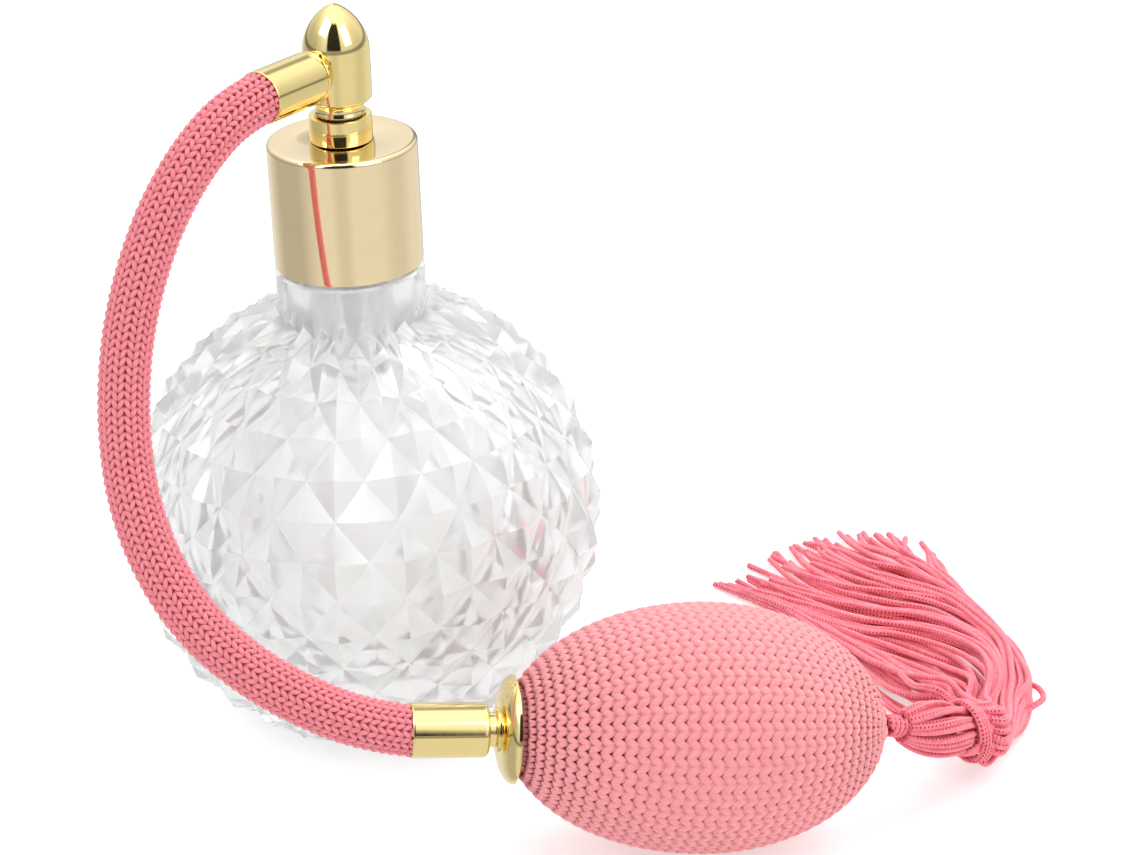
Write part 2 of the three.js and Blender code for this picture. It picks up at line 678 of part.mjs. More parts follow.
function tasselHead() {
  const [low, high] = [LOOP_LENGTH + 0.8, BINDING_SPAN[0] - GAP];
  const middle = (low + high) / 2;
  return turnedSolid(
    [
      [0, low],
      [2.6, low],
      [TASSEL_HEAD_RADIUS - 0.8, low + 2.5],
      [TASSEL_HEAD_RADIUS, middle],
      [TASSEL_HEAD_RADIUS, high - 1],
      [TASSEL_HEAD_RADIUS - 0.6, high],
      [0, high],
    ],
    SMALL_ROUND,
  );
}

function tasselBinding() {
  const [low, high] = BINDING_SPAN;
  const middle = (low + high) / 2;
  return turnedSolid(
    [
      [0, low],
      [BINDING_RADIUS - 1, low],
      [BINDING_RADIUS, middle - 1],
      [BINDING_RADIUS, middle + 1],
      [BINDING_RADIUS - 1, high],
      [0, high],
    ],
    SMALL_ROUND,
  );
}

function tasselSkirt() {
  const outline = new THREE.Shape(SKIRT_OUTLINE.map(([x, y]) => new THREE.Vector2(x, y)));
  const bevel = 1.4;
  const slab = new THREE.ExtrudeGeometry(outline, {
    depth: SKIRT_HEIGHT - 2 * bevel,
    bevelThickness: bevel,
    bevelSize: bevel,
    bevelOffset: -bevel,
    bevelSegments: 2,
  });
  slab.translate(0, 0, SKIRT_BOTTOM + bevel);
  const bindingRoom = rod(BINDING_RADIUS + 1, 8, BINDING_SPAN[1] + GAP);
  return cut(slab, bindingRoom.applyMatrix4(tasselFrame.matrixWorld));
}

place("tassel_loop", tasselLoop(), pinkCord, tasselFrame);
place("tassel_head", tasselHead(), pinkCord, tasselFrame);
place("tassel_binding", tasselBinding(), pinkCord, tasselFrame);
place("tassel_skirt", tasselSkirt(), pinkCord);

export default group;
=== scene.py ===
"""The looks of a cut-glass perfume bottle with a gilt spray head, a knitted hose, a squeeze bulb and a
cord tassel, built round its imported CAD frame. Metres, +Z up, origin under the bottle's centre."""
import json
import math
import random

import bpy
import numpy as np
from mathutils import Matrix, Vector


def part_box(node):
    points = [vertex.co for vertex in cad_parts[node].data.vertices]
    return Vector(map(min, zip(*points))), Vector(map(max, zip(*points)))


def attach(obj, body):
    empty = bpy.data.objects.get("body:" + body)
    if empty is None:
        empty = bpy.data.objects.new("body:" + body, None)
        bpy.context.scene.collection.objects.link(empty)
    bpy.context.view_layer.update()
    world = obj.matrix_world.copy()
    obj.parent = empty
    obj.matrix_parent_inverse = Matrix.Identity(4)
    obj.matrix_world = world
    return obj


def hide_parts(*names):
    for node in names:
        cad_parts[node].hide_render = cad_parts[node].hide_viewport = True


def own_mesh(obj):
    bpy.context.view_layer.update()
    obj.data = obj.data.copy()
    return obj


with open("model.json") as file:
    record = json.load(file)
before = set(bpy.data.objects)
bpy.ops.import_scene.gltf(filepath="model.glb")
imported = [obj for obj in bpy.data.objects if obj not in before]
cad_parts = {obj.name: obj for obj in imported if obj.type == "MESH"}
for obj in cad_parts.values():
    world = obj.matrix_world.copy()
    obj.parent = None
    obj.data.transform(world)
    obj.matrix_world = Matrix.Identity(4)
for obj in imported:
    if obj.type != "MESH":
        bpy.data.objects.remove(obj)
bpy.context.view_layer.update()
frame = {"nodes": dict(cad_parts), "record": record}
MM = 0.001
JOINTS = {joint["name"]: joint for joint in frame["record"]["behaviour"]["joints"]}


# ---------------------------------------------------------------- places read from the frame
def node_points(node):
    """A CAD node's vertices at rest, one row each."""
    return np.array([v.co for v in frame["nodes"][node].data.vertices], float)


def unit(vector):
    vector = np.asarray(vector, float)
    return vector / np.linalg.norm(vector)


class Axis:
    """A straight line that pieces are turned about: distances along it are from its origin."""

    def __init__(self, origin, direction):
        self.origin = np.asarray(origin, float)
        self.direction = unit(direction)
        side = np.cross(self.direction, (0, 0, 1) if abs(self.direction[2]) < 0.9 else (0, 1, 0))
        self.side = unit(side)
        self.up = np.cross(self.side, self.direction)

    def point(self, along, radius=0.0, angle=0.0):
        """Points at a distance along the line, off it by a radius at an angle; takes arrays."""
        along, radius, angle = np.broadcast_arrays(along, radius, angle)
        return (
            self.origin
            + along[..., None] * self.direction
            + (radius * np.cos(angle))[..., None] * self.side
            + (radius * np.sin(angle))[..., None] * self.up
        )

    def span(self, node):
        """Where a CAD node starts and ends along the line, and its largest radius about it."""
        offset = node_points(node) - self.origin
        along = offset @ self.direction
        radius = np.linalg.norm(offset - along[:, None] * self.direction, axis=1)
        return along.min(), along.max(), radius.max()


def widest_place(node, direction):
    """The point on a turned node's own line where the node is widest."""
    points = node_points(node)
    line = Axis(points.mean(0), direction)
    offset = points - line.origin
    along = offset @ line.direction
    radius = np.linalg.norm(offset - along[:, None] * line.direction, axis=1)
    return line.point(along[radius > radius.max() - 0.05 * MM].mean())


UPRIGHT = Axis((0, 0, 0), (0, 0, 1))
FERRULE_MIDDLE = node_points("arm_ferrule").mean(0)
ARM = Axis((0, 0, FERRULE_MIDDLE[2]), (FERRULE_MIDDLE[0], FERRULE_MIDDLE[1], 0))
BULB_DIRECTION = JOINTS["inlet_valve_lift"]["axis"]
BULB = Axis(widest_place("bulb_cover", BULB_DIRECTION), BULB_DIRECTION)
TASSEL_KNOT = np.array(JOINTS["tassel_swing"]["pos_m"])
TASSEL = Axis(TASSEL_KNOT, node_points("tassel_binding").mean(0) - TASSEL_KNOT)

# The hose's middle between the two ferrule mouths, as the CAD model has it.
HOSE_ROUTE = MM * np.array([
    (-11.1, -14, 112), (-16.3, -20.1, 110.2), (-21, -25.8, 106), (-25.1, -30.7, 100.1),
    (-28.2, -34.7, 93.3), (-30.5, -38, 85.8), (-31.8, -41.1, 78), (-32.1, -44.4, 70.1),
    (-31.3, -47.9, 62.5), (-29.1, -51.3, 55), (-25.4, -54.4, 48), (-20.3, -57, 41.7),
    (-13.8, -59, 36.4), (-6.6, -60.2, 32), (1.1, -60.6, 28.4), (9.06, -59.76, 25.83),
])
HOSE_RUN_IN = 9.9 * MM


# ---------------------------------------------------------------- camera, floor and light
def add_camera():
    """Long lens, looking a little down on the bottle, with a slight roll."""
    pitch, roll = math.radians(25.577), math.radians(-1.857)
    forward = Vector((0, math.cos(pitch), -math.sin(pitch)))
    level_up = Vector((0, math.sin(pitch), math.cos(pitch)))
    level_right = Vector((1, 0, 0))
    right = level_right * math.cos(roll) + level_up * math.sin(roll)
    up = level_up * math.cos(roll) - level_right * math.sin(roll)
    camera = bpy.data.objects.new("camera", bpy.data.cameras.new("camera"))
    camera.data.sensor_width = 36
    camera.data.lens = 94.74
    camera.data.clip_start = 0.01
    camera.data.clip_end = 10
    turn = Matrix((right, up, -forward)).transposed().to_4x4()
    camera.matrix_world = Matrix.Translation((0.03495, -0.45250, 0.26407)) @ turn
    bpy.context.scene.collection.objects.link(camera)
    bpy.context.scene.camera = camera


def add_floor():
    """A pale matt floor. Mirror and glass rays pass through it to the studio's walls below."""
    half = 1.5
    corners = [(-half, -half, 0), (half, -half, 0), (half, half, 0), (-half, half, 0)]
    mesh = bpy.data.meshes.new("floor")
    mesh.from_pydata(corners, [], [(0, 1, 2, 3)])
    floor = bpy.data.objects.new("floor", mesh)
    paint = bpy.data.materials.new("floor_white")
    paint.use_nodes = True
    tree = paint.node_tree
    shader = tree.nodes["Principled BSDF"]
    shader.inputs["Base Color"].default_value = (0.7, 0.7, 0.7, 1)
    shader.inputs["Emission Color"].default_value = (1, 1, 1, 1)
    shader.inputs["Emission Strength"].default_value = 0.45
    shader.inputs["Roughness"].default_value = 0.9
    shader.inputs["Specular IOR Level"].default_value = 0.1
    path = tree.nodes.new("ShaderNodeLightPath")
    clear = tree.nodes.new("ShaderNodeBsdfTransparent")
    mix = tree.nodes.new("ShaderNodeMixShader")
    bent = math_node(tree, "MAXIMUM", path.outputs["Is Glossy Ray"], path.outputs["Is Transmission Ray"])
    tree.links.new(bent, mix.inputs[0])
    tree.links.new(shader.outputs[0], mix.inputs[1])
    tree.links.new(clear.outputs[0], mix.inputs[2])
    tree.links.new(mix.outputs[0], tree.nodes["Material Output"].inputs["Surface"])
    mesh.materials.append(paint)
    bpy.context.scene.collection.objects.link(floor)


def add_light(name, place, target, size, power, mirrored=True):
    lamp = bpy.data.objects.new(name, bpy.data.lights.new(name, "AREA"))
    lamp.data.shape = "RECTANGLE"
    lamp.data.size, lamp.data.size_y = size
    lamp.data.energy = power
    aim = (Vector(target) - Vector(place)).to_track_quat("-Z", "Y")
    lamp.matrix_world = Matrix.LocRotScale(Vector(place), aim, None)
    lamp.visible_glossy = mirrored
    bpy.context.scene.collection.objects.link(lamp)


def math_node(tree, operation, first, second=None, clamp=False):
    """A Math node; each input is a number or another node's socket."""
    node = tree.nodes.new("ShaderNodeMath")
    node.operation = operation
    node.use_clamp = clamp
    for socket, value in zip(node.inputs, (first, second)):
        if isinstance(value, bpy.types.NodeSocket):
            tree.links.new(value, socket)
        elif value is not None:
            socket.default_value = value
    return node.outputs[0]


def window(tree, value, low, high, edge):
    """1 where value lies between low and high, with soft edges."""
    rising = math_node(tree, "MULTIPLY_ADD", value, 1 / edge, clamp=True)
    rising.node.inputs[2].default_value = -low / edge + 0.5
    falling = math_node(tree, "MULTIPLY_ADD", value, -1 / edge, clamp=True)
    falling.node.inputs[2].default_value = high / edge + 0.5
    return math_node(tree, "MULTIPLY", rising, falling)


# Dark gaps between the studio's white walls, in degrees: azimuth from straight behind the camera,
# towards +X positive, then elevation, the edge's softness and how dark the gap is.
STUDIO_GAPS = [
    (-27, 22, 4, 62, 5, 0.97),
    (-200, 200, -5, 3, 3, 0.6),
    (-13, 9, -60, 0, 12, 0.16),
    (-130, -55, -95, 40, 34, 0.38),
    (70, 110, -95, 45, 24, 0.15),
    (160, 178, -20, 60, 10, 0.6),
]


def light_studio():
    """A white light tent, brighter overhead, with dark gaps that gilt and glass reflect. The gaps are
    faint through clear glass, and the camera sees the tent plain white."""
    world = bpy.data.worlds.new("studio")
    bpy.context.scene.world = world
    world.use_nodes = True
    tree = world.node_tree
    tree.nodes.clear()
    place = tree.nodes.new("ShaderNodeTexCoord")
    split = tree.nodes.new("ShaderNodeSeparateXYZ")
    tree.links.new(place.outputs["Generated"], split.inputs[0])
    x, y, z = split.outputs
    azimuth = math_node(tree, "ARCTAN2", x, math_node(tree, "MULTIPLY", y, -1.0))
    elevation = math_node(tree, "ARCSINE", z)
    light = None
    for low, high, bottom, top, edge, dark in STUDIO_GAPS:
        low, high, bottom, top, edge = (math.radians(v) for v in (low, high, bottom, top, edge))
        across = window(tree, azimuth, low, high, edge)
        gap = math_node(tree, "MULTIPLY", across, window(tree, elevation, bottom, top, edge))
        left = math_node(tree, "SUBTRACT", 1.0, math_node(tree, "MULTIPLY", gap, dark))
        light = left if light is None else math_node(tree, "MULTIPLY", light, left)
    path = tree.nodes.new("ShaderNodeLightPath")
    overhead = math_node(tree, "MULTIPLY_ADD", elevation, 0.8, clamp=True)
    overhead.node.inputs[2].default_value = -0.14
    light = math_node(tree, "MULTIPLY", light, math_node(tree, "ADD", 1.0, overhead))
    through = math_node(tree, "MULTIPLY", path.outputs["Is Transmission Ray"], 0.9)
    light = math_node(tree, "POWER", light, math_node(tree, "SUBTRACT", 1.0, through))
    mirrored = math_node(tree, "MULTIPLY", path.outputs["Is Glossy Ray"], 0.19)
    bent = math_node(tree, "MULTIPLY", path.outputs["Is Transmission Ray"], 0.36)
    level = math_node(tree, "ADD", 0.88, math_node(tree, "ADD", mirrored, bent))
    light = math_node(tree, "MULTIPLY", light, level)
    seen = math_node(tree, "MAXIMUM", light, path.outputs["Is Camera Ray"])
    background = tree.nodes.new("ShaderNodeBackground")
    output = tree.nodes.new("ShaderNodeOutputWorld")
    tree.links.new(seen, background.inputs["Strength"])
    tree.links.new(background.outputs[0], output.inputs["Surface"])


add_camera()
add_floor()
light_studio()
add_light("key", (-0.45, -0.35, 0.75), (0.03, -0.02, 0.04), (0.5, 0.5), 3.0)
add_light("fill", (0.55, -0.45, 0.55), (0.04, -0.03, 0.04), (0.4, 0.6), 1.5)
add_light("back", (0.4, 0.35, 0.45), (-0.02, -0.02, 0.07), (0.5, 0.5), 3.0, mirrored=False)
bpy.context.scene.view_settings.view_transform = "Standard"


# ---------------------------------------------------------------- materials
def new_material(name, colour, roughness, metallic=0.0, **sockets):
    """A Principled material; sockets are other inputs of the shader, with _ for spaces."""
    material = bpy.data.materials.new(name)
    material.use_nodes = True
    inputs = material.node_tree.nodes["Principled BSDF"].inputs
    inputs["Base Color"].default_value = (*colour, 1)
    inputs["Roughness"].default_value = roughness
    inputs["Metallic"].default_value = metallic
    for socket, value in sockets.items():
        inputs[socket.replace("_", " ")].default_value = value
    material.diffuse_color = (*colour, 1)
    return material


def noise(material, size, detail=2.0, stretch=(1, 1, 1)):
    """Noise over the piece's own place, with grains of about this size in metres."""
    tree = material.node_tree
    place = tree.nodes.new("ShaderNodeTexCoord")
    mapping = tree.nodes.new("ShaderNodeMapping")
    mapping.inputs["Scale"].default_value = stretch
    texture = tree.nodes.new("ShaderNodeTexNoise")
    texture.inputs["Scale"].default_value = 1 / size
    texture.inputs["Detail"].default_value = detail
    tree.links.new(place.outputs["Object"], mapping.inputs["Vector"])
    tree.links.new(mapping.outputs[0], texture.inputs["Vector"])
    return texture.outputs["Fac"]


def vary_colour(material, value, low, high):
    """The base colour runs between two colours as value goes from about 0.3 to 0.7."""
    tree = material.node_tree
    ramp = tree.nodes.new("ShaderNodeValToRGB")
    ramp.color_ramp.elements[0].position, ramp.color_ramp.elements[1].position = 0.3, 0.7
    ramp.color_ramp.elements[0].color = (*low, 1)
    ramp.color_ramp.elements[1].color = (*high, 1)
    tree.links.new(value, ramp.inputs["Fac"])
    tree.links.new(ramp.outputs[0], tree.nodes["Principled BSDF"].inputs["Base Color"])


def vary_roughness(material, value, low, high):
    tree = material.node_tree
    spread = tree.nodes.new("ShaderNodeMapRange")
    spread.inputs["From Min"].default_value, spread.inputs["From Max"].default_value = 0.3, 0.7
    spread.inputs["To Min"].default_value, spread.inputs["To Max"].default_value = low, high
    tree.links.new(value, spread.inputs["Value"])
    tree.links.new(spread.outputs[0], tree.nodes["Principled BSDF"].inputs["Roughness"])


def add_bump(material, value, height, strength=1.0):
    tree = material.node_tree
    bump = tree.nodes.new("ShaderNodeBump")
    bump.inputs["Strength"].default_value = strength
    bump.inputs["Distance"].default_value = height
    tree.links.new(value, bump.inputs["Height"])
    tree.links.new(bump.outputs[0], tree.nodes["Principled BSDF"].inputs["Normal"])


def gilt(name, colour, shade):
    """Polished plating: mirror bright, with faint buffing haze and waviness."""
    material = new_material(name, colour, 0.05, 1.0)
    vary_colour(material, noise(material, 3 * MM), shade, colour)
    vary_roughness(material, noise(material, 0.8 * MM, 4), 0.03, 0.1)
    add_bump(material, noise(material, 4 * MM), 0.02 * MM, 0.3)
    return material


def yarn(name, colour, shade):
    """Soft spun thread: slight streaks of colour, fine fibres and a pale sheen."""
    material = new_material(
        name, colour, 0.85, Sheen_Weight=0.25, Sheen_Roughness=0.5, Specular_IOR_Level=0.15,
    )
    vary_colour(material, noise(material, 0.9 * MM, 3), shade, colour)
    add_bump(material, noise(material, 0.12 * MM, 2), 0.05 * MM, 0.5)
    return material


def moulded(name, colour, roughness, grain=0.4 * MM, **sockets):
    """Moulded plastic or rubber with a fine grain and slightly uneven gloss."""
    material = new_material(name, colour, roughness, **sockets)
    shade = tuple(0.88 * c for c in colour)
    vary_colour(material, noise(material, 6 * MM), shade, colour)
    vary_roughness(material, noise(material, 2 * MM), roughness * 0.8, min(1, roughness * 1.2))
    add_bump(material, noise(material, grain), 0.01 * MM, 0.4)
    return material


def cut_glass():
    """Clear pressed glass: the mould leaves its facets very slightly wavy."""
    material = new_material(
        "cut_glass", (0.97, 0.985, 0.98), 0.0, Transmission_Weight=0.73, IOR=1.45,
    )
    vary_roughness(material, noise(material, 3 * MM), 0.05, 0.13)
    add_bump(material, noise(material, 5 * MM, 1), 0.1 * MM, 0.25)
    return material


GLASS = cut_glass()
CHAMPAGNE = gilt("champagne_gilt", (0.94, 0.77, 0.48), (0.92, 0.75, 0.465))
GOLD = gilt("yellow_gilt", (0.92, 0.75, 0.34), (0.90, 0.73, 0.32))
BRASS = gilt("plain_brass", (0.72, 0.52, 0.22), (0.60, 0.42, 0.18))
STEEL = gilt("polished_steel", (0.62, 0.63, 0.65), (0.55, 0.56, 0.58))
WHITE_PLASTIC = moulded("white_plastic", (0.82, 0.82, 0.79), 0.4)
CLEAR_PLASTIC = moulded(
    "clear_plastic", (0.97, 0.97, 0.97), 0.12, Transmission_Weight=1.0, IOR=1.4,
)
SEAL_RUBBER = moulded("seal_rubber", (0.02, 0.02, 0.02), 0.6)
BULB_RUBBER = moulded("bulb_rubber", (0.97, 0.45, 0.45), 0.35)
HOSE_RUBBER = moulded("hose_rubber", (0.80, 0.14, 0.18), 0.6)
HOSE_YARN = yarn("hose_yarn", (0.82, 0.27, 0.31), (0.76, 0.22, 0.26))
NET_YARN = yarn("net_yarn", (0.83, 0.32, 0.34), (0.78, 0.28, 0.30))
CORD_YARN = yarn("cord_yarn", (0.92, 0.26, 0.32), (0.82, 0.17, 0.22))
# painted shade: a dark red laid in the cords' stitch holes, standing in for the shade in their hollows
CORD_HOLE_PAINTED_SHADE = yarn("cord_stitch_hole_painted_shade", (0.50, 0.04, 0.07), (0.42, 0.03, 0.05))


# ---------------------------------------------------------------- mesh helpers
def add_object(name, points, faces, material, sharp_deg=None):
    """A smooth-shaded mesh object; edges bent by more than sharp_deg stay crisp."""
    mesh = bpy.data.meshes.new(name)
    mesh.from_pydata(np.asarray(points).tolist(), [], [tuple(face) for face in faces])
    mesh.materials.append(material)
    mesh.polygons.foreach_set("use_smooth", [True] * len(mesh.polygons))
    if sharp_deg is not None:
        mesh.set_sharp_from_angle(angle=math.radians(sharp_deg))
    piece = bpy.data.objects.new(name, mesh)
    bpy.context.scene.collection.objects.link(piece)
    return piece


def stand_for(piece, body, slot, *nodes):
    """The piece rides on a body and takes the place of these CAD nodes."""
    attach(piece, body)
    if nodes:
        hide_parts(*nodes)
    return piece


def ring_faces(rings, sides, closed=False):
    """Quads between successive rings of points; closed joins the last ring to the first."""
    first = np.arange(rings if closed else rings - 1)[:, None] * sides
    second = (first + sides) % (rings * sides)
    here = np.arange(sides)[None, :]
    following = (here + 1) % sides
    quads = np.stack([first + here, first + following, second + following, second + here], -1)
    return quads.reshape(-1, 4)


def tube_points(centres, normals, radius, sides, turn=0.0, flatness=1.0):
    """Rings of points round a line of centres; normals point out of each centre's own surface, and
    flatness is a ring's height along them over its width."""
    tangents = np.gradient(centres, axis=-2)
    tangents /= np.linalg.norm(tangents, axis=-1, keepdims=True)
    across = np.cross(tangents, normals)
    across /= np.linalg.norm(across, axis=-1, keepdims=True)
    out = np.cross(across, tangents)
    angles = turn + np.arange(sides) * 2 * np.pi / sides
    radius = np.broadcast_to(np.asarray(radius, float), (*centres.shape[:-1], sides))[..., None]
    cos, sin = np.cos(angles)[:, None], flatness * np.sin(angles)[:, None]
    return centres[..., None, :] + radius * (cos * across[..., None, :] + sin * out[..., None, :])


def capped(faces, rings, sides):
    """The faces of a tube with a flat cap on each end."""
    last = (rings - 1) * sides
    return [
        *faces.tolist(),
        tuple(range(sides))[::-1],
        tuple(range(last, last + sides)),
    ]


def filleted(profile, radius=0.12 * MM, steps=4, closed=True):
    """A [radius, along] outline with each of its corners rounded, and a point beside each end of the
    round so that flat stretches shade flat. Corners on the axis stay as they are."""
    points = [np.array(p, float) for p in profile]
    count = len(points)
    result = []
    for i, corner in enumerate(points):
        if corner[0] < 1e-6 or (not closed and i in (0, count - 1)):
            result.append(corner)
            continue
        back = points[i - 1] - corner
        ahead = points[(i + 1) % count] - corner
        reach = min(radius, np.linalg.norm(back) / 3, np.linalg.norm(ahead) / 3)
        start, end = corner + unit(back) * reach, corner + unit(ahead) * reach
        if abs(unit(back) @ unit(ahead)) > 0.97:
            result.append(corner)
            continue
        result.append(start + unit(back) * reach * 0.4)
        for step in range(steps + 1):
            t = step / steps
            result.append((1 - t) ** 2 * start + 2 * t * (1 - t) * corner + t ** 2 * end)
        result.append(end + unit(ahead) * reach * 0.4)
    return result


def lathe(name, profile, axis, material, sides=96, closed=True):
    """A turned piece about an axis from an outline of [radius, along] points."""
    points, faces, previous, first = [], [], None, None
    angles = np.arange(sides) * 2 * np.pi / sides
    for radius, along in profile:
        if radius < 1e-6:
            ring = [len(points)]
            points.append(axis.point(along))
        else:
            ring = list(range(len(points), len(points) + sides))
            points.extend(axis.point(along, radius, angles))
        if previous is not None:
            faces.extend(joining_faces(previous, ring))
        first = first or ring
        previous = ring
    if closed and len(first) > 1:
        faces.extend(joining_faces(previous, first))
    piece = add_object(name, np.array(points), faces, material, sharp_deg=40)
    face_outwards(piece)
    return piece


def joining_faces(low, high):
    """Faces between two rings of points, where a ring may be a single point on the axis."""
    sides = max(len(low), len(high))
    faces = []
    for k in range(sides if sides > 1 else 0):
        j = (k + 1) % sides
        corners = [low[k % len(low)], low[j % len(low)], high[j % len(high)], high[k % len(high)]]
        faces.append(tuple(dict.fromkeys(corners)))
    return faces


def face_outwards(piece):
    """Turns a closed piece's faces so that they point out of it."""
    mesh = piece.data
    mesh.calc_loop_triangles()
    volume = 0.0
    for triangle in mesh.loop_triangles:
        a, b, c = (mesh.vertices[i].co for i in triangle.vertices)
        volume += a.dot(b.cross(c))
    if volume < 0:
        mesh.flip_normals()


def smooth_path(points, spacing):
    """Points every spacing metres along a smooth curve through the given ones."""
    points = np.asarray(points, float)
    padded = np.vstack([2 * points[0] - points[1], points, 2 * points[-1] - points[-2]])
    t = np.linspace(0, 1, 24, endpoint=False)[:, None]
    dense = []
    for p0, p1, p2, p3 in zip(padded, padded[1:], padded[2:], padded[3:]):
        dense.append(0.5 * (
            2 * p1 + (p2 - p0) * t + (2 * p0 - 5 * p1 + 4 * p2 - p3) * t ** 2
            + (3 * p1 - p0 - 3 * p2 + p3) * t ** 3
        ))
    dense = np.vstack([*dense, points[-1:]])
    lengths = np.r_[0, np.cumsum(np.linalg.norm(np.diff(dense, axis=0), axis=1))]
    count = max(int(round(lengths[-1] / spacing)), 2)
    wanted = np.linspace(0, lengths[-1], count + 1)
    return np.stack([np.interp(wanted, lengths, dense[:, k]) for k in range(3)], 1), lengths[-1]


def carried_normals(path, start=(0.0, 0.0, 1.0)):
    """A direction square to the path at each of its points, which never twists round it."""
    tangents = np.gradient(path, axis=0)
    tangents /= np.linalg.norm(tangents, axis=1, keepdims=True)
    normal, normals = np.asarray(start, float), []
    for tangent in tangents:
        normal = unit(normal - tangent * (normal @ tangent))
        normals.append(normal)
    return np.array(normals)


# ---------------------------------------------------------------- knitting
def knitted(surface, wales, course_places, loop_height, yarn_radius, depth, steps=12, sides=5,
            lean=0.03, swell=0.0, pinch=0.0, flatness=1.0):
    """Points and faces of a tube of plain knitting. surface(turn, along) gives the points and outward
    normals of the cloth, with turn in whole turns. Each course is one wavy round of yarn, whose
    slanted legs stand out and swell, and whose loops' ends dip behind the next course. Pinch draws
    each stitch's two legs together. The yarn's radius and depth may differ from course to course."""
    courses, count = len(course_places), wales * steps
    t = np.arange(-1, count + 1) * 2 * np.pi / steps
    turn = (t / (2 * np.pi) - lean * np.sin(2 * t) + pinch * np.sin(t)) / wales
    along = np.asarray(course_places)[:, None] + loop_height * np.cos(t)
    lift = np.reshape(depth, (-1, 1)) * (0.35 * np.cos(t) - np.cos(2 * t))
    points, normals = surface(np.broadcast_to(turn, along.shape), along)
    centres = points + lift[..., None] * normals
    radius = np.reshape(yarn_radius, (-1, 1)) * (1 - swell * np.cos(2 * t))
    rings = tube_points(centres, normals, radius[..., None], sides, flatness=flatness)[:, 1:-1]
    one = ring_faces(count, sides, closed=True)
    faces = (one[None] + (np.arange(courses) * count * sides)[:, None, None]).reshape(-1, 4)
    return rings.reshape(-1, 3), faces


def hose_line(spacing):
    start = HOSE_ROUTE[0] - ARM.direction * HOSE_RUN_IN
    end = HOSE_ROUTE[-1] - BULB.direction * HOSE_RUN_IN
    return smooth_path(
        [start, (start + HOSE_ROUTE[0]) / 2, *HOSE_ROUTE, (end + HOSE_ROUTE[-1]) / 2, end], spacing,
    )


SLEEVE_RADIUS = 3.9 * MM


def at_places(values, places):
    """The values' rows at places, which count along the rows and may fall between them."""
    rows = np.arange(len(values))
    return np.stack([np.interp(places, rows, values[:, k]) for k in range(3)], -1)


def add_hose():
    """The hose's rubber tubing in its sleeve of fine stocking stitch."""
    wales, course, yarn_radius, depth = 12, 1.28 * MM, 0.34 * MM, 0.33 * MM
    fine, length = hose_line(0.25 * MM)
    normals = carried_normals(fine)
    tangents = np.gradient(fine, axis=0)
    tangents /= np.linalg.norm(tangents, axis=1, keepdims=True)
    sides = np.cross(tangents, normals)
    outer = SLEEVE_RADIUS - yarn_radius

    def surface(turn, along):
        place = np.clip(along / length * (len(fine) - 1), 0, len(fine) - 1)
        angle = turn[..., None] * 2 * np.pi
        out = np.cos(angle) * at_places(normals, place) + np.sin(angle) * at_places(sides, place)
        out /= np.linalg.norm(out, axis=-1, keepdims=True)
        return at_places(fine, place) + (outer - depth * 0.5) * out, out

    places = np.arange(0.8 * MM, length - 0.8 * MM, course)
    points, faces = knitted(surface, wales, places, course * 0.66, yarn_radius, depth, swell=0.2)
    sleeve = add_object("hose_sleeve_knit", points, faces, HOSE_YARN)
    stand_for(sleeve, "head", "pink_hose_knit", "hose_sleeve")

    path, _ = hose_line(1.5 * MM)
    lining_sides = 24
    rings = tube_points(path, carried_normals(path), outer - 0.3 * MM, lining_sides)
    lining_faces = capped(ring_faces(len(path), lining_sides), len(path), lining_sides)
    lining = add_object("hose_tubing_rubber", rings.reshape(-1, 3), lining_faces, HOSE_RUBBER)
    stand_for(lining, "head", "pink_rubber", "hose_tubing")
    return sleeve, lining, fine, length


hose_sleeve, hose_tubing, hose_path, hose_length = add_hose()


# ---------------------------------------------------------------- glass bottle
GLASS_LOW, GLASS_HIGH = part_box("glass_bottle")
BALL_RADIUS = 40 * MM
GROOVE_RADIUS = 38.2 * MM
BALL_CENTRE = 33.6 * MM
COLUMNS, ROWS = 22, 13
LOWEST_ROW, HIGHEST_ROW, FIRST_CROSSING = -53.6, 71.9, -61.0


def diamond_radius(column, row):
    """The ball's radius over its net of grooves; crossings are where column ± row / 2 are whole."""
    across = [column + row / 2, column - row / 2]
    nearest = np.minimum(*[np.abs(a - np.round(a)) for a in across])
    return GROOVE_RADIUS + (BALL_RADIUS - GROOVE_RADIUS) * 2 * nearest


def split_along_grooves(quads, steps):
    """Cuts the ball's quads into triangles so that an edge follows each slanting groove."""
    ring, side = np.divmod(np.arange(len(quads)), 2 * COLUMNS * steps)
    rising = (ring // steps + side // steps) % 2 == 0
    low_left, low_right, high_right, high_left = quads.T
    first = np.stack([low_left, low_right, np.where(rising, high_right, high_left)], 1)
    second = np.stack([np.where(rising, low_left, low_right), high_right, high_left], 1)
    return np.concatenate([first, second])


def level_ring(turns, radius, z):
    """One level ring of points at these turns about the bottle's upright line."""
    level = np.broadcast_to(z, turns.shape)
    return np.stack([radius * np.cos(turns), radius * np.sin(turns), level], 1)


def rings_at(turns, outline):
    """Level rings for an outline of (radius, height) pairs in millimetres."""
    return [level_ring(turns, r * MM, z * MM) for r, z in outline]


